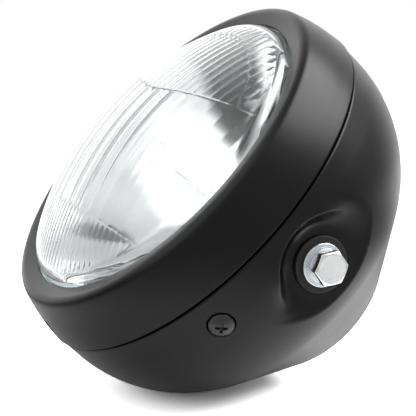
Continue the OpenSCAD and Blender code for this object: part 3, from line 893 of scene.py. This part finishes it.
def floor_material():
    """Pale paper, even near the lamp; further out, as the lamp sees it, its colour carries painted shade, darker on the
    camera's side, a painted pool of light and a painted dark patch. Shown brighter to the camera than it is to the
    lamp, and clear from below.
    """
    m, nt, out = new_mat("pale_floor")
    d = nt.nodes.new("ShaderNodeBsdfDiffuse")
    v = coords(nt)
    paper = mix_col(nt, remap(nt, noise(nt, v, 6.0, 3.0), 0.3, 0.7, 0, 1), (0.85, 0.85, 0.85), (0.87, 0.87, 0.87))
    sub = nt.nodes.new("ShaderNodeVectorMath")
    sub.operation = "SUBTRACT"
    link(nt, v, sub.inputs[0])
    sub.inputs[1].default_value = tuple(float(q) for q in -UP * FLOOR_D)
    dist = nt.nodes.new("ShaderNodeVectorMath")
    dist.operation = "LENGTH"
    link(nt, sub.outputs[0], dist.inputs[0])
    back = nt.nodes.new("ShaderNodeVectorMath")
    back.operation = "DOT_PRODUCT"
    link(nt, sub.outputs[0], back.inputs[0])
    back.inputs[1].default_value = tuple(float(q) for q in AWAY)
    # painted shade: what the lamp sees of the floor is darker towards the camera than beyond the lamp
    painted_floor_shading = mix_col(nt, remap(nt, back.outputs["Value"], 0.10, 0.45, 0, 1, smooth=True), (0.25, 0.25, 0.25), (0.75, 0.75, 0.75))
    # a painted pool of light on the floor beside the lamp, which the bolt's end face mirrors
    painted_light_pool = nt.nodes.new("ShaderNodeVectorMath")
    painted_light_pool.operation = "DISTANCE"
    link(nt, sub.outputs[0], painted_light_pool.inputs[0])
    painted_light_pool.inputs[1].default_value = tuple(float(q) for q in 0.30 * RIGHT - 0.32 * AWAY)
    painted_floor_shading = mix_col(nt, remap(nt, painted_light_pool.outputs["Value"], 0.07, 0.18, 1, 0, smooth=True), painted_floor_shading, (0.43, 0.43, 0.43))
    # a painted dark patch on the floor well to the left, which the mirror throws into the upper flutes
    painted_dark_patch = nt.nodes.new("ShaderNodeVectorMath")
    painted_dark_patch.operation = "DISTANCE"
    link(nt, sub.outputs[0], painted_dark_patch.inputs[0])
    painted_dark_patch.inputs[1].default_value = tuple(float(q) for q in -0.80 * RIGHT - 0.08 * AWAY)
    painted_floor_shading = mix_col(nt, remap(nt, painted_dark_patch.outputs["Value"], 0.34, 0.52, 1, 0, smooth=True), painted_floor_shading, (0.03, 0.03, 0.03))
    # out from the lamp the floor takes on the painted shade, the painted pool of light and the painted dark patch; near
    # it the paper stays even
    paper = mix_col(nt, remap(nt, dist.outputs["Value"], 0.08, 0.26, 0, 1, smooth=True), paper, painted_floor_shading)
    lp = nt.nodes.new("ShaderNodeLightPath")
    shown = mix_col(nt, remap(nt, dist.outputs["Value"], 0.12, 0.26, 0, 1, smooth=True), (FLOOR_SHOWN, FLOOR_SHOWN, FLOOR_SHOWN), (0.9, 0.9, 0.9))
    link(nt, mix_col(nt, lp.outputs["Is Camera Ray"], paper, shown), d.inputs["Color"])
    t = nt.nodes.new("ShaderNodeBsdfTransparent")
    geo = nt.nodes.new("ShaderNodeNewGeometry")
    mx = nt.nodes.new("ShaderNodeMixShader")
    link(nt, geo.outputs["Backfacing"], mx.inputs[0])
    link(nt, d.outputs[0], mx.inputs[1])
    link(nt, t.outputs[0], mx.inputs[2])
    link(nt, mx.outputs[0], out.inputs["Surface"])
    return m


def floor_piece():
    c = -UP * FLOOR_D
    a, b = RIGHT, AWAY
    n = 24
    verts, faces = [(*c,)], []
    rad = [0.15, 0.35, 0.7, 1.1]
    for r in rad:
        for k in range(n):
            t = 2 * math.pi * k / n
            verts.append(tuple(c + r * (math.cos(t) * a + math.sin(t) * b)))
    for k in range(n):
        faces.append((0, 1 + k, 1 + (k + 1) % n))
    for q in range(len(rad) - 1):
        for k in range(n):
            l = (k + 1) % n
            faces.append((1 + q * n + l, 1 + q * n + k, 1 + (q + 1) * n + k, 1 + (q + 1) * n + l))
    me = bpy.data.meshes.new("floor")
    me.from_pydata(verts, [], faces)
    me.update()
    if me.polygons[0].normal.dot(Vector(UP)) < 0:
        me.flip_normals()
    me.materials.append(floor_material())
    o = bpy.data.objects.new("floor", me)
    scene.collection.objects.link(o)
    return o


floor = floor_piece()

world = bpy.data.worlds.new("studio")
scene.world = world
world.use_nodes = True
nt = world.node_tree
nt.nodes.clear()
w_out = nt.nodes.new("ShaderNodeOutputWorld")
tc = nt.nodes.new("ShaderNodeTexCoord")


def dot_dir(vec):
    d = nt.nodes.new("ShaderNodeVectorMath")
    d.operation = "DOT_PRODUCT"
    link(nt, tc.outputs["Generated"], d.inputs[0])
    d.inputs[1].default_value = tuple(float(x) for x in vec)
    return d.outputs["Value"]


def lobe(side_deg, up_deg, half_deg, soft_deg, amount):
    """Adds light from a round patch of the studio. side_deg: 0 beyond the lamp, 90 to its right, 180 behind the camera."""
    a, e = math.radians(side_deg), math.radians(up_deg)
    v = math.sin(a) * math.cos(e) * RIGHT + math.sin(e) * UP + math.cos(a) * math.cos(e) * AWAY
    return remap(nt, dot_dir(v), math.cos(math.radians(half_deg + soft_deg)), math.cos(math.radians(max(half_deg - soft_deg, 0))), 0.0, amount, smooth=True)


# base: bright backdrop beyond the lamp, dimmer towards the camera
away_d = dot_dir(AWAY)
light = remap(nt, away_d, 0.45, 0.98, 0.58, 1.32, smooth=True)
for args in [
    (85, 52, 26, 6, 8.5),        # softbox above, to the right
    (-112, 40, 30, 7, 1.1),      # large, weaker softbox to the left
    (-150, 62, 22, 10, 0.10),
    (-120, 5, 28, 14, 0.35),
    (-42, 22, 26, 13, 0.75),
    (-150, 45, 30, 15, 0.12),
]:
    light = math_n(nt, "ADD", light, lobe(*args))
# darker places: the strip at the left horizon and the gap straight above
for args in [
    (-99, -2, 15, 6, 0.97),
    (26, 79.5, 6.5, 3, 0.80),
]:
    light = math_n(nt, "MULTIPLY", light, math_n(nt, "SUBTRACT", 1.0, lobe(*args)))
bg_light = nt.nodes.new("ShaderNodeBackground")
bg_light.inputs["Color"].default_value = (1.0, 1.0, 1.0, 1)
link(nt, light, bg_light.inputs["Strength"])
bg_white = nt.nodes.new("ShaderNodeBackground")
bg_white.inputs["Color"].default_value = (1, 1, 1, 1)
bg_white.inputs["Strength"].default_value = 1.0
lp = nt.nodes.new("ShaderNodeLightPath")
mx = nt.nodes.new("ShaderNodeMixShader")
link(nt, lp.outputs["Is Camera Ray"], mx.inputs[0])
link(nt, bg_light.outputs[0], mx.inputs[1])
link(nt, bg_white.outputs[0], mx.inputs[2])
link(nt, mx.outputs[0], w_out.inputs["Surface"])

scene.view_settings.view_transform = "Standard"
scene.view_settings.look = "None"
scene.view_settings.exposure = 0.0
